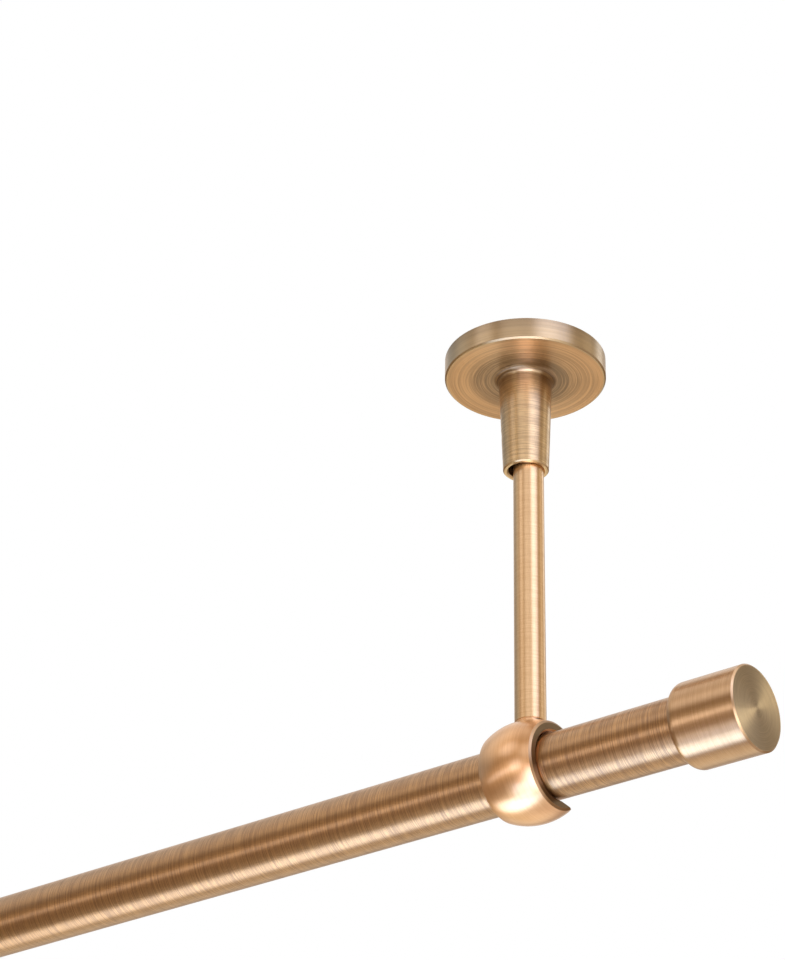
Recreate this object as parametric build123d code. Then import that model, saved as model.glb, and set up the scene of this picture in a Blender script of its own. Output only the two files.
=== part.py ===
from build123d import *
import math
import os

# Metal curtain rod hung from the ceiling on two brackets, all sizes in millimetres.
# The origin lies on the ceiling, midway between the brackets. +X runs along the rod,
# +Y to the back, where the bracket rings are open, and +Z up into the ceiling.

# Rod tube
ROD_D = 20.0
ROD_WALL = 1.0
ROD_LENGTH = 1200.0
ROD_DROP = 146.0

# End cap, pushed over the end of the tube
CAP_WALL = 2.95
CAP_LENGTH = 23.2
CAP_END_WALL = 3.0
CAP_RIM_LAND = 0.15
CAP_EDGE = 0.5
CAP_BORE_CLEARANCE = 0.1
CAP_REACH = 80.3
CAP_SCREW_ANGLE = 60.0
CAP_SCREW_FROM_RIM = 11.0

# Ceiling plate, hidden inside the rosette
PLATE_THICKNESS = 4.4
PLATE_HOLE_INSET = 8.0
PLATE_HOLE_D = 4.5
PLATE_SINK_D = 9.0
PLATE_GROOVE_DEPTH = 1.1

# Rosette with its tapered neck, turned from one piece
ROSETTE_D = 52.6
ROSETTE_RIM = 4.1
ROSETTE_WEB = 3.0
ROSETTE_EDGE = 0.5
ROSETTE_CLEARANCE = 0.2
ROSETTE_SCREW_ANGLES = (100.0, 190.0)
NECK_ROOT_WALL = 3.05
NECK_MOUTH_WALL = 1.65
NECK_REACH = 41.5
NECK_ROOT_FILLET = 2.2
NECK_RIM_EDGE = 0.4

# Stem, held in the neck by a screw that pushes it across the bore
STEM_D = 9.8
STEM_PLAY = 0.8
STEM_IN_NECK = 28.5
STEM_EDGE = 0.25
STEM_PUSH_ANGLE = 29.5
STEM_SCREW_ABOVE_MOUTH = 13.0

# Open ring under the stem, bored for the rod and open at the back
RING_EDGE_WALL = 2.95
RING_CROWN_RISE = 2.3
RING_PAD_RISE = 0.15
RING_WIDTH = 19.5
RING_BREAK = 0.5
RING_BORE_CLEARANCE = 0.6
RING_FLARE = 7.0
RING_UPPER_LIP_ANGLE = 12.0
ROD_SCREW_ANGLE = 49.5

# Threaded stud between stem and ring
STUD_D = 6.0
STUD_IN_STEM = 11.0
STUD_ABOVE_BORE = 0.5

# Set screws
SMALL_SCREW_D = 3.0
SMALL_SOCKET = 1.5
LARGE_SCREW_D = 4.0
LARGE_SOCKET = 2.0
SCREW_SUNK = 0.3
SCREW_EDGE = 0.3
SOCKET_SHARE = 0.4
THREAD_CLEARANCE = 0.03
HOLE_OVERRUN = 6.0

# Sizes that follow from the ones above
BRACKET_X = ROD_LENGTH / 2 + CAP_END_WALL - CAP_REACH
ROD_R = ROD_D / 2
CAP_R = ROD_R + CAP_BORE_CLEARANCE + CAP_WALL
ROSETTE_R = ROSETTE_D / 2
ROSETTE_THICKNESS = PLATE_THICKNESS + ROSETTE_WEB
PLATE_R = ROSETTE_R - ROSETTE_RIM - ROSETTE_CLEARANCE
PLATE_GROOVE_Z = -PLATE_THICKNESS / 2
STEM_R = STEM_D / 2
STEM_X = STEM_PLAY * math.cos(math.radians(STEM_PUSH_ANGLE))
STEM_Y = STEM_PLAY * math.sin(math.radians(STEM_PUSH_ANGLE))
STEM_TOP_Z = -NECK_REACH + STEM_IN_NECK
STEM_SCREW_Z = -NECK_REACH + STEM_SCREW_ABOVE_MOUTH
NECK_BORE_R = STEM_R + STEM_PLAY
NECK_ROOT_R = NECK_BORE_R + NECK_ROOT_WALL
NECK_MOUTH_R = NECK_BORE_R + NECK_MOUTH_WALL
RING_BORE_R = ROD_R + RING_BORE_CLEARANCE
RING_EDGE_R = RING_BORE_R + RING_EDGE_WALL
RING_CROWN_R = RING_EDGE_R + RING_CROWN_RISE
RING_PAD_HEIGHT = RING_CROWN_R + RING_PAD_RISE
ROD_Y = STEM_Y - RING_BORE_CLEARANCE * math.cos(math.radians(ROD_SCREW_ANGLE))
RING_Z = -ROD_DROP + RING_BORE_CLEARANCE * math.sin(math.radians(ROD_SCREW_ANGLE))
STEM_FOOT_Z = RING_Z + RING_PAD_HEIGHT
ROD_AXIS = (0, ROD_Y, -ROD_DROP)


def turned(points, axis):
    """A solid turned from a closed outline of (along X, up Z) points."""
    outline = make_face(Plane.XZ * Polyline(points, close=True))
    return revolve(outline, axis)


def radial(origin, direction):
    """A plane whose Z axis leaves the origin along the direction."""
    return Plane(origin=origin, z_dir=direction)


def round_bar(diameter, low, high):
    """A plain round bar along Z between two heights."""
    return Pos(0, 0, (low + high) / 2) * Cylinder(diameter / 2, high - low)


def set_screw(diameter, length, socket, cone):
    """A headless screw along Z with its point at the origin and its socket at the far end."""
    r = diameter / 2 - THREAD_CLEARANCE
    if cone:
        point = [(0, 0), (r, r)]
    else:
        point = [(0, 0), (r - SCREW_EDGE, 0), (r, SCREW_EDGE)]
    back = [(r, length - SCREW_EDGE), (r - SCREW_EDGE, length), (0, length)]
    body = turned(point + back, Axis.Z)
    depth = length * SOCKET_SHARE
    hexagon = RegularPolygon(socket / 2, 6, major_radius=False)
    return body - Pos(0, 0, length - depth) * extrude(hexagon, depth)


def flat_direction(angle):
    """A level direction at an angle from +X towards +Y."""
    a = math.radians(angle)
    return (math.cos(a), math.sin(a), 0)


def cross_direction(angle):
    """A direction square to the rod, at an angle from +Y towards +Z."""
    a = math.radians(angle)
    return (0, math.cos(a), math.sin(a))


def along(origin, direction, distance):
    """The point at a distance from the origin along a direction."""
    return tuple(o + d * distance for o, d in zip(origin, direction))


def neck_radius(z):
    """Outside radius of the neck at a height below the rosette."""
    share = (-ROSETTE_THICKNESS - z) / (NECK_REACH - ROSETTE_THICKNESS)
    return NECK_ROOT_R + (NECK_MOUTH_R - NECK_ROOT_R) * share


# Ceiling plate: a disc with two countersunk screw holes and a grooved rim

def make_plate():
    groove_top = PLATE_GROOVE_Z + PLATE_GROOVE_DEPTH
    groove_low = PLATE_GROOVE_Z - PLATE_GROOVE_DEPTH
    disc = turned(
        [
            (0, 0),
            (PLATE_R, 0),
            (PLATE_R, groove_top),
            (PLATE_R - PLATE_GROOVE_DEPTH, PLATE_GROOVE_Z),
            (PLATE_R, groove_low),
            (PLATE_R, -PLATE_THICKNESS),
            (0, -PLATE_THICKNESS),
        ],
        Axis.Z,
    )
    sink_depth = (PLATE_SINK_D - PLATE_HOLE_D) / 2
    sink = turned(
        [
            (0, -PLATE_THICKNESS),
            (PLATE_SINK_D / 2, -PLATE_THICKNESS),
            (PLATE_HOLE_D / 2, -PLATE_THICKNESS + sink_depth),
            (0, -PLATE_THICKNESS + sink_depth),
        ],
        Axis.Z,
    )
    hole = round_bar(PLATE_HOLE_D, -PLATE_THICKNESS - HOLE_OVERRUN, HOLE_OVERRUN)
    for side in (-1, 1):
        place = Pos(0, side * (PLATE_R - PLATE_HOLE_INSET), 0)
        disc -= place * hole
        disc -= place * sink
    return disc


# Rosette: recessed disc, filleted into a tapered neck with a clear bore

def make_rosette():
    recess_r = PLATE_R + ROSETTE_CLEARANCE
    body = turned(
        [
            (recess_r, 0),
            (ROSETTE_R, 0),
            (ROSETTE_R, -ROSETTE_THICKNESS + ROSETTE_EDGE),
            (ROSETTE_R - ROSETTE_EDGE, -ROSETTE_THICKNESS),
            (NECK_ROOT_R, -ROSETTE_THICKNESS),
            (NECK_MOUTH_R, -NECK_REACH + NECK_RIM_EDGE),
            (NECK_MOUTH_R - NECK_RIM_EDGE, -NECK_REACH),
            (NECK_BORE_R + NECK_RIM_EDGE, -NECK_REACH),
            (NECK_BORE_R, -NECK_REACH + NECK_RIM_EDGE),
            (NECK_BORE_R, -PLATE_THICKNESS),
            (recess_r, -PLATE_THICKNESS),
        ],
        Axis.Z,
    )
    circles = body.edges().filter_by(GeomType.CIRCLE)
    level = circles.filter_by(lambda e: abs(e.arc_center.Z + ROSETTE_THICKNESS) < 0.01)
    root = level.filter_by(lambda e: abs(e.radius - NECK_ROOT_R) < 0.01)
    body = fillet(root, NECK_ROOT_FILLET)
    for angle in ROSETTE_SCREW_ANGLES:
        out = flat_direction(angle)
        start = along((0, 0, PLATE_GROOVE_Z), out, PLATE_R)
        through = ROSETTE_R - PLATE_R + HOLE_OVERRUN
        body -= radial(start, out) * round_bar(SMALL_SCREW_D, 0, through)
    away = flat_direction(STEM_PUSH_ANGLE + 180)
    return body - radial((0, 0, STEM_SCREW_Z), away) * round_bar(LARGE_SCREW_D, 0, ROSETTE_R)


def make_rosette_screws():
    inner = PLATE_R - PLATE_GROOVE_DEPTH
    length = ROSETTE_R - SCREW_SUNK - inner
    screws = []
    for angle in ROSETTE_SCREW_ANGLES:
        out = flat_direction(angle)
        start = along((0, 0, PLATE_GROOVE_Z), out, inner)
        screws.append(radial(start, out) * set_screw(SMALL_SCREW_D, length, SMALL_SOCKET, True))
    return screws


# Stem: a solid bar, drilled at the foot for the stud, lying off the neck's axis by its play

def make_stem():
    bar = turned(
        [
            (0, STEM_TOP_Z),
            (STEM_R - STEM_EDGE, STEM_TOP_Z),
            (STEM_R, STEM_TOP_Z - STEM_EDGE),
            (STEM_R, STEM_FOOT_Z + STEM_EDGE),
            (STEM_R - STEM_EDGE, STEM_FOOT_Z),
            (0, STEM_FOOT_Z),
        ],
        Axis.Z,
    )
    bar -= round_bar(STUD_D, STEM_FOOT_Z - HOLE_OVERRUN, STEM_FOOT_Z + STUD_IN_STEM)
    return Pos(STEM_X, STEM_Y, 0) * bar


def make_stem_screw():
    inner = STEM_R - STEM_PLAY
    length = neck_radius(STEM_SCREW_Z) - SCREW_SUNK - inner
    away = flat_direction(STEM_PUSH_ANGLE + 180)
    start = along((0, 0, STEM_SCREW_Z), away, inner)
    return radial(start, away) * set_screw(LARGE_SCREW_D, length, LARGE_SOCKET, False)


# Stud: headless, screwed up into the stem and down into the ring's pad

def make_stud():
    r = STUD_D / 2 - THREAD_CLEARANCE
    top = STEM_FOOT_Z + STUD_IN_STEM
    low = RING_Z + RING_BORE_R + STUD_ABOVE_BORE
    stud = turned(
        [
            (0, low),
            (r - SCREW_EDGE, low),
            (r, low + SCREW_EDGE),
            (r, top - SCREW_EDGE),
            (r - SCREW_EDGE, top),
            (0, top),
        ],
        Axis.Z,
    )
    return Pos(STEM_X, STEM_Y, 0) * stud


# Open ring: a barrel turned about the rod, bored with play, opened at the back by a flared throat

def make_ring():
    half = RING_WIDTH / 2
    curve = (half**2 + RING_CROWN_RISE**2) / (2 * RING_CROWN_RISE)
    near = half - RING_BREAK
    near_r = RING_CROWN_R - curve + math.sqrt(curve**2 - near**2)
    outside = Polyline(
        [
            (near, near_r),
            (half, RING_EDGE_R - RING_BREAK),
            (half, RING_BORE_R + RING_BREAK),
            (near, RING_BORE_R),
            (-near, RING_BORE_R),
            (-half, RING_BORE_R + RING_BREAK),
            (-half, RING_EDGE_R - RING_BREAK),
            (-near, near_r),
        ]
    )
    top = ThreePointArc((-near, near_r), (0, RING_CROWN_R), (near, near_r))
    ring = revolve(make_face(Plane.XZ * (Curve() + [outside, top])), Axis.X)
    pad_low = RING_BORE_R + RING_BREAK
    ring += round_bar(STEM_D, pad_low, RING_PAD_HEIGHT)

    flare = math.radians(RING_FLARE)
    lip = math.radians(RING_UPPER_LIP_ANGLE)
    reach = 2 * RING_CROWN_R
    low_y = -RING_BORE_R * math.sin(flare)
    low_z = -RING_BORE_R * math.cos(flare)
    high_y = RING_BORE_R * math.cos(lip)
    high_z = RING_BORE_R * math.sin(lip)
    throat = make_face(
        Plane.YZ
        * Polyline(
            [
                (0, 0),
                (low_y, low_z),
                (low_y + reach * math.cos(flare), low_z - reach * math.sin(flare)),
                (high_y + reach * math.cos(flare), high_z + reach * math.sin(flare)),
                (high_y, high_z),
            ],
            close=True,
        )
    )
    ring -= extrude(throat, RING_WIDTH, both=True)

    ring -= round_bar(STUD_D, 0, RING_PAD_HEIGHT + HOLE_OVERRUN)
    screw_plane = radial((0, 0, 0), cross_direction(ROD_SCREW_ANGLE))
    ring -= screw_plane * round_bar(LARGE_SCREW_D, 0, 2 * RING_CROWN_R)
    return Pos(STEM_X, STEM_Y, RING_Z) * ring


def make_rod_screw():
    inner = ROD_R - RING_BORE_CLEARANCE
    length = RING_CROWN_R - SCREW_SUNK - inner
    away = cross_direction(ROD_SCREW_ANGLE)
    start = along((STEM_X, STEM_Y, RING_Z), away, inner)
    return radial(start, away) * set_screw(LARGE_SCREW_D, length, LARGE_SOCKET, False)


# Rod and caps

def make_tube():
    tube = Cylinder(ROD_R, ROD_LENGTH) - Cylinder(ROD_R - ROD_WALL, ROD_LENGTH)
    return Pos(*ROD_AXIS) * Rot(0, 90, 0) * tube


def make_cap():
    """The cap for the +X end, along X with its inner end wall at the tube's end."""
    rim = CAP_END_WALL - CAP_LENGTH
    bore_r = ROD_R + CAP_BORE_CLEARANCE
    body = turned(
        [
            (rim, bore_r),
            (rim, CAP_R),
            (CAP_END_WALL - CAP_EDGE, CAP_R),
            (CAP_END_WALL, CAP_R - CAP_EDGE),
            (CAP_END_WALL, 0),
            (0, 0),
            (0, bore_r),
        ],
        Axis.X,
    )
    circles = body.edges().filter_by(GeomType.CIRCLE)
    at_rim = circles.filter_by(lambda e: abs(e.arc_center.X - rim) < 0.01)
    shoulder = at_rim.filter_by(lambda e: abs(e.radius - CAP_R) < 0.01)
    body = fillet(shoulder, CAP_WALL - CAP_RIM_LAND)
    start = (rim + CAP_SCREW_FROM_RIM, 0, 0)
    return body - radial(start, cross_direction(CAP_SCREW_ANGLE)) * round_bar(SMALL_SCREW_D, 0, 2 * CAP_R)


def make_cap_screw():
    length = CAP_R - SCREW_SUNK - ROD_R
    away = cross_direction(CAP_SCREW_ANGLE)
    start = along((CAP_END_WALL - CAP_LENGTH + CAP_SCREW_FROM_RIM, 0, 0), away, ROD_R)
    return radial(start, away) * set_screw(SMALL_SCREW_D, length, SMALL_SOCKET, False)


os.makedirs("parts", exist_ok=True)

# Two like brackets, one at each end of the rod
for name, x in (("right", BRACKET_X), ("left", -BRACKET_X)):
    at = Pos(x, 0, 0)
    export_step(at * make_plate(), f"parts/ceiling_plate_{name}.step")
    export_step(at * make_rosette(), f"parts/rosette_{name}.step")
    screws = [at * screw for screw in make_rosette_screws()]
    export_step(Compound(children=screws), f"parts/rosette_screws_{name}.step")
    export_step(at * make_stem(), f"parts/stem_{name}.step")
    export_step(at * make_stem_screw(), f"parts/stem_screw_{name}.step")
    export_step(at * make_stud(), f"parts/ring_stud_{name}.step")
    export_step(at * make_ring(), f"parts/rod_ring_{name}.step")
    export_step(at * make_rod_screw(), f"parts/rod_screw_{name}.step")

# The rod, and a cap with its screw at each end, the left one mirrored
export_step(make_tube(), "parts/rod_tube.step")
end = Pos(ROD_LENGTH / 2, ROD_Y, -ROD_DROP)
cap = end * make_cap()
cap_screw = end * make_cap_screw()
export_step(cap, "parts/end_cap_right.step")
export_step(cap_screw, "parts/end_cap_screw_right.step")
export_step(mirror(cap, Plane.YZ), "parts/end_cap_left.step")
export_step(mirror(cap_screw, Plane.YZ), "parts/end_cap_screw_left.step")
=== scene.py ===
import math
from collections import namedtuple

import bpy
from mathutils import Matrix, Vector


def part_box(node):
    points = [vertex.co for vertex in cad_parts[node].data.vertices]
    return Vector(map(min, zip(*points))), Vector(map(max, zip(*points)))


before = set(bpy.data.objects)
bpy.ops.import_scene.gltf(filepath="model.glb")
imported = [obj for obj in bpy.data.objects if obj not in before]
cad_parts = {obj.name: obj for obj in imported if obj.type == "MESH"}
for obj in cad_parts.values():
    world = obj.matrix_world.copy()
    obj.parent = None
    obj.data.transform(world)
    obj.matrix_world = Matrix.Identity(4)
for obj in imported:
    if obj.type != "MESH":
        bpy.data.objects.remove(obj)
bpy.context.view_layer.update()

scene = bpy.context.scene
scene.view_settings.view_transform = "Standard"

# Places and sizes read from the frame, in metres

MM = 0.001
X_AXIS = Vector((1, 0, 0))
Z_AXIS = Vector((0, 0, 1))


def middle(node):
    """The middle of a node's box."""
    low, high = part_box(node)
    return (low + high) / 2


rosette_low, rosette_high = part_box("rosette_right")
cap_low, cap_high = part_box("end_cap_right")
rod_low, rod_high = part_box("rod_tube")
stem_low, stem_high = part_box("stem_right")
ROSETTE_R = (rosette_high.x - rosette_low.x) / 2
CAP_R = (cap_high.y - cap_low.y) / 2
CAP_HALF = (cap_high.x - cap_low.x) / 2
ROD_R = (rod_high.y - rod_low.y) / 2
ROD_CENTRE = middle("rod_tube")
ROD_AT_BRACKET = Vector((middle("rosette_right").x, ROD_CENTRE.y, ROD_CENTRE.z))
CAP_FACE = Vector((cap_high.x, ROD_CENTRE.y, ROD_CENTRE.z))
STEM_MIDDLE = (stem_low + stem_high) / 2


# Camera, where the photograph was taken from: below the rod and beyond its end

IMAGE_HEIGHT_PX = 960
FOCAL_LENGTH_PX = 2539.5
SENSOR = 36.0
CLIP_START = 0.01
CAMERA_FROM_ROD = Vector((0.41979, -0.56962, -0.29881))
CAMERA_TURN = math.radians(39.848)
CAMERA_RISE = math.radians(29.472)
CAMERA_ROLL = math.radians(1.27)


def make_camera():
    """The camera. Its sensor spans the picture's longer side, which is the height."""
    data = bpy.data.cameras.new("camera")
    data.sensor_width = SENSOR
    data.lens = FOCAL_LENGTH_PX * SENSOR / IMAGE_HEIGHT_PX
    data.clip_start = CLIP_START
    camera = bpy.data.objects.new("camera", data)
    scene.collection.objects.link(camera)
    level = Vector((-math.sin(CAMERA_TURN), math.cos(CAMERA_TURN), 0))
    forward = level * math.cos(CAMERA_RISE) + Z_AXIS * math.sin(CAMERA_RISE)
    right = Vector((math.cos(CAMERA_TURN), math.sin(CAMERA_TURN), 0))
    right = Matrix.Rotation(-CAMERA_ROLL, 3, forward) @ right
    up = right.cross(forward)
    turn = Matrix((right, up, -forward)).transposed()
    camera.matrix_world = Matrix.Translation(ROD_AT_BRACKET + CAMERA_FROM_ROD) @ turn.to_4x4()
    scene.camera = camera


# Node helpers

class Graph:
    """Adds nodes to a tree. An input is a plain value or another node's output."""

    def __init__(self, tree):
        self.tree = tree
        tree.nodes.clear()

    def put(self, socket, value):
        if isinstance(value, bpy.types.NodeSocket):
            self.tree.links.new(value, socket)
        else:
            socket.default_value = value

    def node(self, kind, inputs=None, **settings):
        made = self.tree.nodes.new("ShaderNode" + kind)
        for name, value in settings.items():
            setattr(made, name, value)
        for name, value in (inputs or {}).items():
            self.put(made.inputs[name], value)
        return made

    def math(self, operation, a, b=0.0):
        return self.node("Math", {0: a, 1: b}, operation=operation).outputs[0]

    def vector(self, operation, a, b=(0, 0, 0)):
        made = self.node("VectorMath", {0: a, 1: b}, operation=operation)
        return made.outputs["Value" if operation in ("DOT_PRODUCT", "LENGTH") else "Vector"]

    def scaled(self, vector, factor):
        made = self.node("VectorMath", {0: vector, "Scale": factor}, operation="SCALE")
        return made.outputs["Vector"]

    def step(self, value, start, end, low=0.0, high=1.0):
        """A smooth step from low at start to high at end."""
        inputs = {"Value": value, "From Min": start, "From Max": end, "To Min": low, "To Max": high}
        return self.node("MapRange", inputs, interpolation_type="SMOOTHSTEP").outputs["Result"]

    def mix(self, factor, a, b):
        """The colour a where the factor is 0, and b where it is 1."""
        return self.node("Mix", {0: factor, 6: a, 7: b}, data_type="RGBA").outputs[2]

    def noise(self, vector, detail, roughness=0.5):
        inputs = {"Vector": vector, "Scale": 1.0, "Detail": detail, "Roughness": roughness}
        return self.node("TexNoise", inputs).outputs["Fac"]


def new_material(name):
    """A material without nodes, and the graph to add them with."""
    material = bpy.data.materials.new(name)
    material.use_nodes = True
    return material, Graph(material.node_tree)


def opaque(colour, share=1.0):
    """A colour for a socket, darkened to a share of itself."""
    return tuple(part * share for part in colour) + (1,)


# Studio: white all round for the camera, softly graded for the metal to mirror

WHITE = (1, 1, 1, 1)
DIM_ROOM = (0.32, 0.215, 0.12)
PALE_CARD = (0.95, 1.0, 1.0)
COOL_CARD = (0.90, 0.97, 1.20)
GREEN_CARD = (0.25, 1.0, 1.5)
WARM_CARD = (1.0, 0.92, 0.75)
AMBER_CARD = (1.0, 1.0, 0.75)
BACKDROP = (1.0, 1.0, 1.0)
# Soft patches of the studio: the direction that each lies in, the angles from it in degrees at which the
# patch is full and gone, its strength and its tint
STUDIO_PATCHES = [
    ((-0.56, 0.00, 0.83), 10, 35, 0.25, WARM_CARD),  # high on the left
    ((-0.56, -0.42, 0.72), 10, 30, 0.44, WARM_CARD),  # high on the left, in front
    ((-0.33, -0.73, 0.59), 5, 17, 1.15, PALE_CARD),  # in front, above
    ((0.27, -0.83, 0.48), 5, 24, 1.00, PALE_CARD),  # in front, above, a little to the right
    ((0.75, -0.45, 0.48), 8, 28, 0.80, PALE_CARD),  # on the right, above, in front
    ((0.72, 0.63, 0.29), 4, 12, 1.00, PALE_CARD),  # behind on the right, for the cap's end face
    ((0.16, 0.86, 0.47), 5, 13, 1.00, PALE_CARD),  # behind, for the cap's end face
    ((0.56, 0.67, 0.49), 15, 40, 0.22, AMBER_CARD),  # behind on the right, wide
    ((-0.85, -0.17, 0.49), 15, 40, 0.14, GREEN_CARD),  # on the left, above
    ((0.56, 0.00, 0.83), 10, 30, 0.90, PALE_CARD),  # high on the right
    ((0.80, -0.25, -0.50), 12, 40, 1.60, PALE_CARD),  # low on the right
    ((0.52, -0.68, -0.52), 13, 37, 4.50, COOL_CARD),  # beside the camera, for the neck
    ((0.10, 0.20, 1.00), 20, 55, 0.45, PALE_CARD),  # overhead
    ((0.10, 0.60, -0.80), 15, 45, 0.55, PALE_CARD),  # below, behind
    ((-0.56, 0.82, -0.14), 10, 32, 0.20, PALE_CARD),  # behind on the left
    ((-0.56, 0.67, 0.49), 12, 34, 0.45, BACKDROP),  # straight behind the object
    ((-0.10, -0.99, 0.00), 4, 14, 1.80, PALE_CARD),  # level, in front
    ((-0.56, 0.62, -0.56), 10, 30, 0.56, AMBER_CARD),  # low on the left, behind
]


def make_world():
    """The studio's light, with white in its place where the camera looks past the object."""
    world = bpy.data.worlds.new("studio")
    scene.world = world
    world.use_nodes = True
    graph = Graph(world.node_tree)
    towards = graph.node("TexCoord").outputs["Generated"]
    light = DIM_ROOM
    for direction, full, gone, strength, tint in STUDIO_PATCHES:
        nearness = graph.vector("DOT_PRODUCT", towards, Vector(direction).normalized())
        edge = math.cos(math.radians(gone))
        core = math.cos(math.radians(full))
        patch = graph.scaled(tint, graph.step(nearness, edge, core, 0.0, strength))
        light = graph.vector("ADD", light, patch)
    studio = graph.node("Background", {"Color": light, "Strength": 1.0})
    backdrop = graph.node("Background", {"Color": WHITE, "Strength": 1.0})
    camera_ray = graph.node("LightPath").outputs["Is Camera Ray"]
    either = graph.node("MixShader", {0: camera_ray, 1: studio.outputs[0], 2: backdrop.outputs[0]})
    graph.node("OutputWorld", {"Surface": either.outputs[0]})


# Lamps. A lamp has one tint at each end of its width.

NEUTRAL = (0.92, 1.0, 1.03)
COOL = (0.78, 1.0, 1.35)
ROSY_COOL = (0.77, 0.91, 1.30)
BRIGHT_COOL = (1.04, 1.50, 2.05)
WARM = (1.0, 0.95, 0.85)
BRIGHT_WARM = (1.5, 1.5, 1.45)
# The shares of the width between which one tint gives way to the other
TINT_CHANGE = (0.2, 0.8)
HALF_WAY = 0.5

LOW_LAMP_Z = -0.556
BELOW = Vector((0.20, -0.022, LOW_LAMP_Z))
BELOW_RIGHT = Vector((0.45, -0.33, LOW_LAMP_Z))
BESIDE_WAY = Vector((0.852, -0.213, 0.47))
BESIDE_DISTANCE = 0.8
FRONT_FROM_ROD = Vector((-0.50, -0.473, -0.085))
FRONT_AIM = Vector((0, 1, 0.3))
BEYOND_WAY = Vector((0.72, 0.63, 0.29))
BEYOND_DISTANCE = 0.10
# The lamp beyond the cap is aimed this far below it, so that it doesn't glint in the rosette's edge
BEYOND_AIM_DROP = 0.10


def make_softbox(name, place, target, size, radiance, tints, soft, turn=0):
    """A lamp hidden from the camera. It fades out over the soft shares of its width and height."""
    width, height = size
    data = bpy.data.lights.new(name, "AREA")
    data.shape = "RECTANGLE"
    data.size = width
    data.size_y = height
    data.energy = radiance * math.pi * width * height
    data.use_nodes = True
    graph = Graph(data.node_tree)
    spot = graph.node("SeparateXYZ", {0: graph.node("NewGeometry").outputs["Parametric"]}).outputs
    strength = 1.0
    for across, fade in zip(spot, soft):
        from_middle = graph.math("ABSOLUTE", graph.math("SUBTRACT", across, HALF_WAY))
        from_edge = graph.math("SUBTRACT", HALF_WAY, from_middle)
        strength = graph.math("MULTIPLY", strength, graph.step(from_edge, 0.0, fade))
    tint = graph.mix(graph.step(spot[0], *TINT_CHANGE), opaque(tints[0]), opaque(tints[1]))
    glow = graph.node("Emission", {"Color": tint, "Strength": strength})
    graph.node("OutputLight", {"Surface": glow.outputs[0]})
    lamp = bpy.data.objects.new(name, data)
    scene.collection.objects.link(lamp)
    facing = (target - place).to_track_quat("-Z", "Y").to_matrix().to_4x4()
    lamp.matrix_world = Matrix.Translation(place) @ facing @ Matrix.Rotation(math.radians(turn), 4, "Z")
    lamp.visible_camera = False


def make_lamps():
    make_softbox(
        "lamp_below", BELOW, BELOW + Z_AXIS, size=(1.20, 0.33), radiance=2.8,
        tints=(BRIGHT_COOL, NEUTRAL), soft=(0.35, 0.29), turn=17)
    make_softbox(
        "lamp_below_right", BELOW_RIGHT, BELOW_RIGHT + Z_AXIS, size=(0.34, 0.44), radiance=2.4,
        tints=(COOL, COOL), soft=(0.25, 0.2))
    beside = STEM_MIDDLE + BESIDE_WAY * BESIDE_DISTANCE
    make_softbox(
        "lamp_beside", beside, STEM_MIDDLE, size=(0.84, 0.80), radiance=1.35,
        tints=(ROSY_COOL, ROSY_COOL), soft=(0.3, 0.35))
    front = ROD_AT_BRACKET + FRONT_FROM_ROD
    make_softbox(
        "lamp_front", front, front + FRONT_AIM, size=(1.10, 0.16), radiance=1.40,
        tints=(WARM, BRIGHT_WARM), soft=(0.1, 0.45), turn=5)
    beyond = CAP_FACE + BEYOND_WAY * BEYOND_DISTANCE
    make_softbox(
        "lamp_beyond", beyond, CAP_FACE - Z_AXIS * BEYOND_AIM_DROP, size=(0.016, 0.016), radiance=56.0,
        tints=(NEUTRAL, NEUTRAL), soft=(0.45, 0.45))


# Floor of the room, far below the rod, with a glow that only the camera sees

FLOOR_Z = -2.6
FLOOR_HALF = 60.0
FLOOR_COLOUR = (0.72, 0.79, 0.90, 1)
FLOOR_ROUGHNESS = 0.9
FLOOR_GLOW = 0.32


def make_floor():
    mesh = bpy.data.meshes.new("floor")
    signs = ((-1, -1), (1, -1), (1, 1), (-1, 1))
    corners = [(x * FLOOR_HALF, y * FLOOR_HALF, FLOOR_Z) for x, y in signs]
    mesh.from_pydata(corners, [], [(0, 1, 2, 3)])
    floor = bpy.data.objects.new("floor", mesh)
    scene.collection.objects.link(floor)
    floor.visible_glossy = False
    material, graph = new_material("floor_pale")
    camera_ray = graph.node("LightPath").outputs["Is Camera Ray"]
    surface = graph.node("BsdfPrincipled", {
        "Base Color": FLOOR_COLOUR,
        "Roughness": FLOOR_ROUGHNESS,
        "Emission Color": WHITE,
        "Emission Strength": graph.math("MULTIPLY", camera_ray, FLOOR_GLOW),
    })
    graph.node("OutputMaterial", {"Surface": surface.outputs[0]})
    mesh.materials.append(material)


# Turned and brushed metal

# How one turned piece is finished: its bright and dark tones in linear colour, the roughness of each, how
# far its gloss is drawn out, the width of a brushed line in metres, how strong the lines are, the
# lacquer's weight and roughness, and the strength of the lines' relief
Look = namedtuple("Look", "bright dark smooth coarse anisotropy line streaks coat gloss relief")

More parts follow.
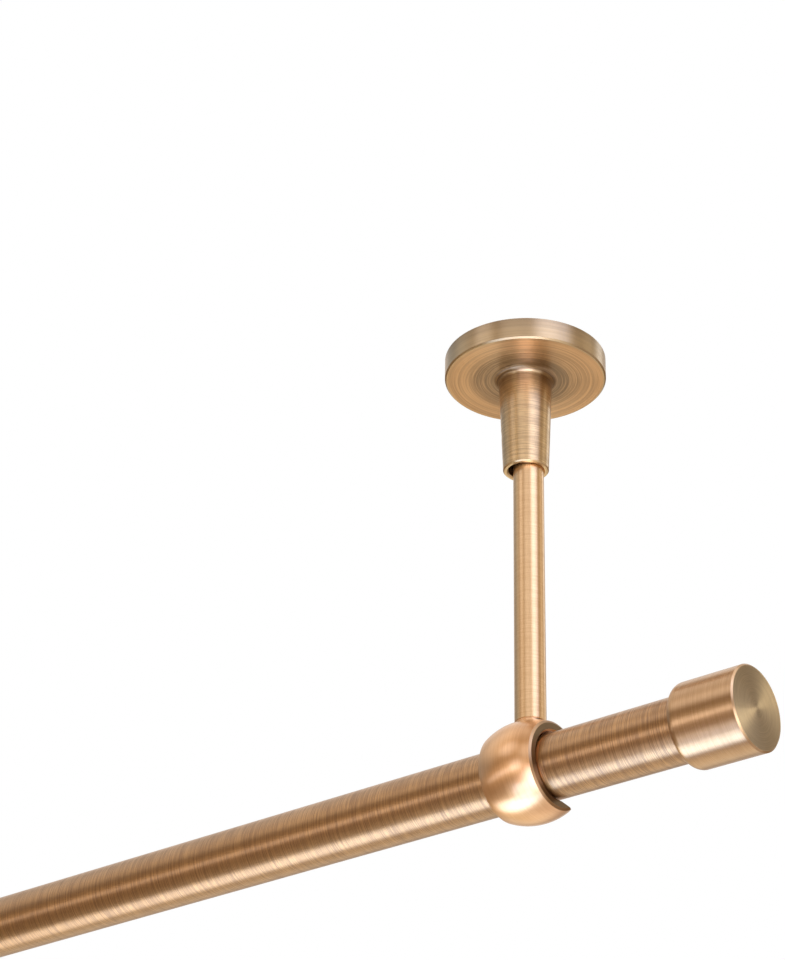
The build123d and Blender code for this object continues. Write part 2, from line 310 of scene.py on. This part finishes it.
ROD_LOOK = Look(
    bright=(0.48, 0.232, 0.062), dark=(0.22, 0.088, 0.02), smooth=0.36, coarse=0.44, anisotropy=0.62,
    line=0.19 * MM, streaks=0.85, coat=0.9, gloss=0.28, relief=0.15)
CAP_LOOK = Look(
    bright=(0.535, 0.288, 0.113), dark=(0.38, 0.185, 0.056), smooth=0.34, coarse=0.40, anisotropy=0.82,
    line=0.14 * MM, streaks=0.6, coat=1.0, gloss=0.25, relief=0.0)
RING_LOOK = Look(
    bright=(0.80, 0.43, 0.187), dark=(0.60, 0.28, 0.10), smooth=0.36, coarse=0.40, anisotropy=0.25,
    line=0.30 * MM, streaks=0.35, coat=1.0, gloss=0.21, relief=0.02)
ROSETTE_LOOK = Look(
    bright=(0.615, 0.348, 0.157), dark=(0.19, 0.104, 0.040), smooth=0.31, coarse=0.40, anisotropy=0.75,
    line=0.28 * MM, streaks=0.75, coat=0.9, gloss=0.22, relief=0.12)
STEM_LOOK = Look(
    bright=(0.77, 0.49, 0.25), dark=(0.58, 0.325, 0.13), smooth=0.30, coarse=0.35, anisotropy=0.72,
    line=0.22 * MM, streaks=0.45, coat=0.8, gloss=0.20, relief=0.03)

# A kind of brushed line: its width in the look's own line, its noise cells round the axis (fewer make
# longer lines) and their detail, the noise at which it is dark and bright, and its shade there
Lines = namedtuple("Lines", "width cells detail start end dark bright")

FINE = Lines(width=1.0, cells=0.7, detail=2.0, start=0.30, end=0.66, dark=0.0, bright=1.0)
CROSSING = Lines(width=1.9, cells=1.05, detail=3.0, start=0.34, end=0.52, dark=0.4, bright=1.0)
WIDE = Lines(width=9.0, cells=1.05, detail=2.0, start=0.3, end=0.6, dark=0.65, bright=1.0)
FACE_RINGS = Lines(width=3.0, cells=0.35, detail=2.0, start=0.42, end=0.56, dark=0.0, bright=0.65)
LINE_ROUGHNESS = 0.65
# How far the crossing lines slant, as a rise along the axis for a way across it
SLANT = 0.14
# The product of the lines at which the shade is full
LINES_FULL = 0.8
PATINA_SIZE = 9 * MM
PATINA_DETAIL = 4.0
PATINA_NOISE = (0.3, 0.65)
PATINA_DARK = 0.85
# The share of the lacquer that is left in the darkest lines
COAT_WORN = 0.75
COAT_IOR = 2.0
LINE_DEPTH = 0.03 * MM
# The lean of the mesh's normals round the axis that is kept, and the one up to which it is taken out
SEAM_LEAN = (0.12, 0.05)
# On end faces painted darker as painted shade, the dark tone's share of the bright one and the share of
# the lacquer that is taken off
END_SHADE_DARK = 0.7
END_SHADE_COAT_CUT = 0.6


class TurnedMetal:
    """Metal brushed round an axis. Its shade, from 0 to 1, says where it is dark and where bright."""

    def __init__(self, name, axis, centre, look):
        self.material, self.graph = new_material(name)
        self.axis = axis
        self.look = look
        self.bright = opaque(look.bright)
        self.find_place(centre)
        self.brush()

    def find_place(self, centre):
        """Where a spot lies along the axis and from it, its normal, and the way across the lines."""
        graph = self.graph
        geometry = graph.node("NewGeometry").outputs
        self.place = graph.vector("SUBTRACT", geometry["Position"], centre)
        self.along = graph.vector("DOT_PRODUCT", self.place, self.axis)
        from_axis = graph.vector("SUBTRACT", self.place, graph.scaled(self.axis, self.along))
        self.radius = graph.vector("LENGTH", from_axis)
        self.outward = graph.vector("NORMALIZE", from_axis)
        self.across = graph.math("ADD", self.along, self.radius)
        around = graph.vector("CROSS_PRODUCT", self.axis, self.outward)
        # A turned face has no lean round its axis, so the small lean of the mesh at its seam is taken out
        lean = graph.vector("DOT_PRODUCT", geometry["Normal"], around)
        seam_lean = graph.math("MULTIPLY", lean, graph.step(graph.math("ABSOLUTE", lean), *SEAM_LEAN))
        mended = graph.vector("SUBTRACT", geometry["Normal"], graph.scaled(around, seam_lean))
        self.normal = graph.vector("NORMALIZE", mended)
        self.grain = graph.vector("CROSS_PRODUCT", around, self.normal)

    def line_noise(self, kind, across):
        """Noise drawn out into lines that are long round the axis and narrow across it."""
        graph = self.graph
        spot = graph.scaled(self.axis, graph.math("DIVIDE", across, self.look.line * kind.width))
        spot = graph.vector("ADD", spot, graph.scaled(self.outward, kind.cells))
        return graph.noise(spot, kind.detail, LINE_ROUGHNESS)

    def line_shade(self, kind, noise):
        return self.graph.step(noise, kind.start, kind.end, kind.dark, kind.bright)

    def brush(self):
        """Fine, crossing and wide lines, a cloudy patina, and the lacquer and roughness that follow."""
        graph = self.graph
        look = self.look
        sideways = Vector((self.axis.z, self.axis.x, self.axis.y))
        rise = graph.math("MULTIPLY", graph.vector("DOT_PRODUCT", self.place, sideways), SLANT)
        slanted = graph.math("ADD", self.across, rise)
        self.fine = self.line_noise(FINE, self.across)
        tone = self.line_shade(FINE, self.fine)
        for kind, across in ((CROSSING, slanted), (WIDE, self.across)):
            shade = self.line_shade(kind, self.line_noise(kind, across))
            tone = graph.math("MULTIPLY", tone, shade)
        tone = graph.step(tone, 0.0, LINES_FULL, 1 - look.streaks, 1.0)
        patina = graph.noise(graph.scaled(self.place, 1 / PATINA_SIZE), PATINA_DETAIL)
        self.shade = graph.math("MULTIPLY", tone, graph.step(patina, *PATINA_NOISE, PATINA_DARK, 1.0))
        self.coat = graph.step(self.shade, 0.0, 1.0, look.coat * COAT_WORN, look.coat)
        self.rough = graph.step(self.shade, 0.0, 1.0, look.coarse, look.smooth)

    def paint(self):
        """The colour by the shade."""
        self.colour = self.graph.mix(self.shade, opaque(self.look.dark), self.bright)

    def thin_coat(self, where):
        """Takes the lacquer off by a share from 0 to 1."""
        graph = self.graph
        self.coat = graph.math("MULTIPLY", self.coat, graph.math("SUBTRACT", 1.0, where))

    def paint_end_shade(self, tone, turn):
        """Painted shade: a darker tone where the surface faces along the axis, between the two cosines of
        the turn.
        """
        graph = self.graph
        square_on = graph.math("ABSOLUTE", graph.vector("DOT_PRODUCT", self.normal, self.axis))
        at_end = graph.step(square_on, *turn)
        # Painted shade on the end faces, standing in for their shade and dark reflection
        end_shade = graph.mix(self.shade, opaque(tone, END_SHADE_DARK), opaque(tone))
        self.colour = graph.mix(at_end, self.colour, end_shade)
        self.thin_coat(graph.math("MULTIPLY", at_end, END_SHADE_COAT_CUT))

    def finished(self):
        """Puts the surface together and hands over the material."""
        graph = self.graph
        look = self.look
        bump = graph.node("Bump", {
            "Strength": look.relief,
            "Distance": LINE_DEPTH,
            "Height": self.fine,
            "Normal": self.normal,
        })
        surface = graph.node("BsdfPrincipled", {
            "Base Color": self.colour,
            "Metallic": 1.0,
            "Roughness": self.rough,
            "Normal": bump.outputs[0],
            "Coat Normal": self.normal,
            "Anisotropic": look.anisotropy,
            "Tangent": self.grain,
            "Coat Weight": self.coat,
            "Coat Roughness": look.gloss,
            "Coat IOR": COAT_IOR,
        })
        graph.node("OutputMaterial", {"Surface": surface.outputs[0]})
        return self.material


# Rod and stem: plain brushed metal

def rod_metal():
    metal = TurnedMetal("rod_look", X_AXIS, ROD_CENTRE, ROD_LOOK)
    metal.paint()
    return metal.finished()


def stem_metal(side):
    metal = TurnedMetal(f"stem_look_{side}", Z_AXIS, middle(f"stem_{side}"), STEM_LOOK)
    metal.paint()
    return metal.finished()


# End cap: an end face painted darker as painted shade, inside an edge with a painted highlight

# Tone of the painted shade on the cap's end face
CAP_END_SHADE = (0.27, 0.177, 0.084)
CAP_END_TURN = (0.85, 0.97)
# Colour and share of the painted highlight on the cap's edge
CAP_EDGE_HIGHLIGHT = (0.80, 0.58, 0.34, 1)
CAP_EDGE_SHARE = 0.12
# How far in from the cap's side the painted highlight on the edge lies, and how far from there it is gone
# and full
CAP_EDGE_IN = 0.3 * MM
CAP_EDGE_WIDTH = (0.7 * MM, 0.28 * MM)


def cap_metal(side, sign):
    """The cap's metal. The sign says to which end its face looks."""
    metal = TurnedMetal(f"cap_look_{side}", X_AXIS, middle(f"end_cap_{side}"), CAP_LOOK)
    metal.paint()
    metal.paint_end_shade(CAP_END_SHADE, CAP_END_TURN)
    graph = metal.graph
    # Painted highlight along the edge of the end face
    off_along = graph.math("SUBTRACT", metal.along, sign * CAP_HALF)
    off_radius = graph.math("SUBTRACT", metal.radius, CAP_R - CAP_EDGE_IN)
    off = graph.node("CombineXYZ", {0: off_along, 1: off_radius}).outputs[0]
    near = graph.step(graph.vector("LENGTH", off), *CAP_EDGE_WIDTH)
    metal.colour = graph.mix(graph.math("MULTIPLY", near, CAP_EDGE_SHARE), metal.colour, CAP_EDGE_HIGHLIGHT)
    return metal.finished()


# Rod ring: end faces and bore painted darker, as painted shade

# Tone of the painted shade on the ring's end faces
RING_END_SHADE = (0.16, 0.09, 0.035)
RING_END_TURN = (0.70, 0.92)
BORE_SHADE = (0.06, 0.038, 0.018, 1)
# How far out from the rod's face the bore's painted shade is gone and full
BORE_EDGE = (0.9 * MM, 0.5 * MM)


def ring_metal(side):
    centre = Vector((middle(f"rod_ring_{side}").x, middle(f"stem_{side}").y, ROD_CENTRE.z))
    metal = TurnedMetal(f"ring_look_{side}", X_AXIS, centre, RING_LOOK)
    metal.paint()
    metal.paint_end_shade(RING_END_SHADE, RING_END_TURN)
    graph = metal.graph
    # Painted shade inside the bore, with its lacquer taken off
    inside = graph.step(metal.radius, ROD_R + BORE_EDGE[0], ROD_R + BORE_EDGE[1])
    metal.colour = graph.mix(inside, metal.colour, BORE_SHADE)
    metal.thin_coat(inside)
    return metal.finished()


# Rosette and neck: patina and painted shade in rings on the underside, a brighter neck and a rim painted
# with a reflection's tone

# Radii at which the patina and painted shade round the neck are full and gone, and the shade value
# outside them
FACE_PATINA_AND_SHADE = (10.5 * MM, 22 * MM)
FACE_CLEAR = 1.6
# Radii between which the lines grow even, and how far they do
FACE_CALM = (13.5 * MM, 20 * MM)
FACE_EVEN = 0.85
NECK_EVEN = 0.45
EVEN_SHADE = 0.8
# The face's share of the lacquer, and how much rougher it is
FACE_COAT = 0.45
FACE_ROUGHER = 0.12
# Heights between which the face's patina and painted shade end at the neck's root
NECK_ROOT = (-8.05 * MM, -8.8 * MM)
NECK_BRIGHT = (0.735, 0.482, 0.224, 1)
# Heights between which the neck darkens towards the face, and the shade above them
NECK_FADE = (-17 * MM, -9 * MM)
ROOT_SHADE = 0.55
# How far in from the rosette's edge the rim's painted reflection starts and is full, and its share
RIM_IN = (1.2 * MM, 0.4 * MM)
RIM_SHARE = 0.7
RIM_REFLECTION_LOW = (0.395, 0.277, 0.130, 1)
RIM_REFLECTION_HIGH = (0.244, 0.169, 0.078, 1)
# Heights between which the rim's painted reflection darkens towards the ceiling
RIM_FADE = (-5 * MM, -0.5 * MM)


def rosette_metal(side):
    rosette = middle(f"rosette_{side}")
    ceiling_spot = Vector((rosette.x, rosette.y, 0))
    metal = TurnedMetal(f"rosette_look_{side}", Z_AXIS, ceiling_spot, ROSETTE_LOOK)
    graph = metal.graph
    on_neck = graph.step(metal.along, *NECK_ROOT)
    on_rim = graph.step(metal.radius, ROSETTE_R - RIM_IN[0], ROSETTE_R - RIM_IN[1])
    clear = graph.math("MAXIMUM", on_neck, on_rim)

    # The lines are evened out on the neck and towards the face's edge
    neck_calm = graph.math("MULTIPLY", on_neck, NECK_EVEN)
    calm = graph.math("MAXIMUM", neck_calm, graph.step(metal.radius, *FACE_CALM, 0.0, FACE_EVEN))
    evened = graph.math("MULTIPLY", graph.math("SUBTRACT", EVEN_SHADE, metal.shade), calm)
    shade = graph.math("ADD", metal.shade, evened)
    shade = graph.math("MULTIPLY", shade, graph.step(metal.along, *NECK_FADE, 1.0, ROOT_SHADE))

    # The patina, with painted shade round the neck, thins outwards, in rings
    outside = graph.step(metal.radius, *FACE_PATINA_AND_SHADE, 0.0, FACE_CLEAR)
    rings = metal.line_shade(FACE_RINGS, metal.line_noise(FACE_RINGS, metal.across))
    ringed = graph.math("ADD", outside, rings)
    metal.shade = graph.math("MULTIPLY", shade, graph.math("MAXIMUM", ringed, clear))
    metal.coat = graph.math("MULTIPLY", metal.coat, graph.math("MAXIMUM", clear, FACE_COAT))
    metal.rough = graph.math("ADD", metal.rough, graph.step(clear, 0.0, 1.0, FACE_ROUGHER, 0.0))

    metal.bright = graph.mix(on_neck, metal.bright, NECK_BRIGHT)
    metal.paint()
    # Painted reflection on the rim, darker towards the ceiling
    rim_reflection = graph.mix(graph.step(metal.along, *RIM_FADE), RIM_REFLECTION_LOW, RIM_REFLECTION_HIGH)
    metal.colour = graph.mix(graph.math("MULTIPLY", on_rim, RIM_SHARE), metal.colour, rim_reflection)
    return metal.finished()


# Ceiling plates and screws: zinc-plated steel with a faint cloudy grain

PLATE_STEEL = (0.56, 0.55, 0.52)
PLATE_ROUGHNESS = 0.38
SCREW_STEEL = (0.50, 0.48, 0.45)
SCREW_ROUGHNESS = 0.32
CLOUD_SIZE = 1.5 * MM
CLOUD_DETAIL = 5.0
CLOUD_NOISE = (0.3, 0.7)
CLOUD_DARK = 0.75
# How much rougher the dark clouds are, and how much smoother the bright ones
CLOUD_ROUGHER = 0.08
CLOUD_SMOOTHER = 0.05
CLOUD_RELIEF = 0.1
CLOUD_DEPTH = 0.02 * MM


def plain_steel(name, colour, roughness):
    material, graph = new_material(name)
    place = graph.node("NewGeometry").outputs["Position"]
    cloud = graph.noise(graph.scaled(place, 1 / CLOUD_SIZE), CLOUD_DETAIL)
    tone = graph.mix(graph.step(cloud, *CLOUD_NOISE), opaque(colour, CLOUD_DARK), opaque(colour))
    rough = graph.step(cloud, *CLOUD_NOISE, roughness + CLOUD_ROUGHER, roughness - CLOUD_SMOOTHER)
    bump = graph.node("Bump", {"Strength": CLOUD_RELIEF, "Distance": CLOUD_DEPTH, "Height": cloud})
    surface = graph.node("BsdfPrincipled", {
        "Base Color": tone,
        "Metallic": 1.0,
        "Roughness": rough,
        "Normal": bump.outputs[0],
    })
    graph.node("OutputMaterial", {"Surface": surface.outputs[0]})
    return material


def dress(node, material):
    """Gives a CAD node its material."""
    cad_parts[node].material_slots[0].material = material


def dress_all():
    plate_steel = plain_steel("plate_steel_look", PLATE_STEEL, PLATE_ROUGHNESS)
    screw_steel = plain_steel("screw_steel_look", SCREW_STEEL, SCREW_ROUGHNESS)
    dress("rod_tube", rod_metal())
    for side, sign in (("right", 1), ("left", -1)):
        dress(f"end_cap_{side}", cap_metal(side, sign))
        dress(f"rod_ring_{side}", ring_metal(side))
        dress(f"rosette_{side}", rosette_metal(side))
        dress(f"stem_{side}", stem_metal(side))
        dress(f"ceiling_plate_{side}", plate_steel)
        for piece in ("rosette_screws", "stem_screw", "ring_stud", "rod_screw", "end_cap_screw"):
            dress(f"{piece}_{side}", screw_steel)


make_camera()
make_world()
make_lamps()
make_floor()
dress_all()
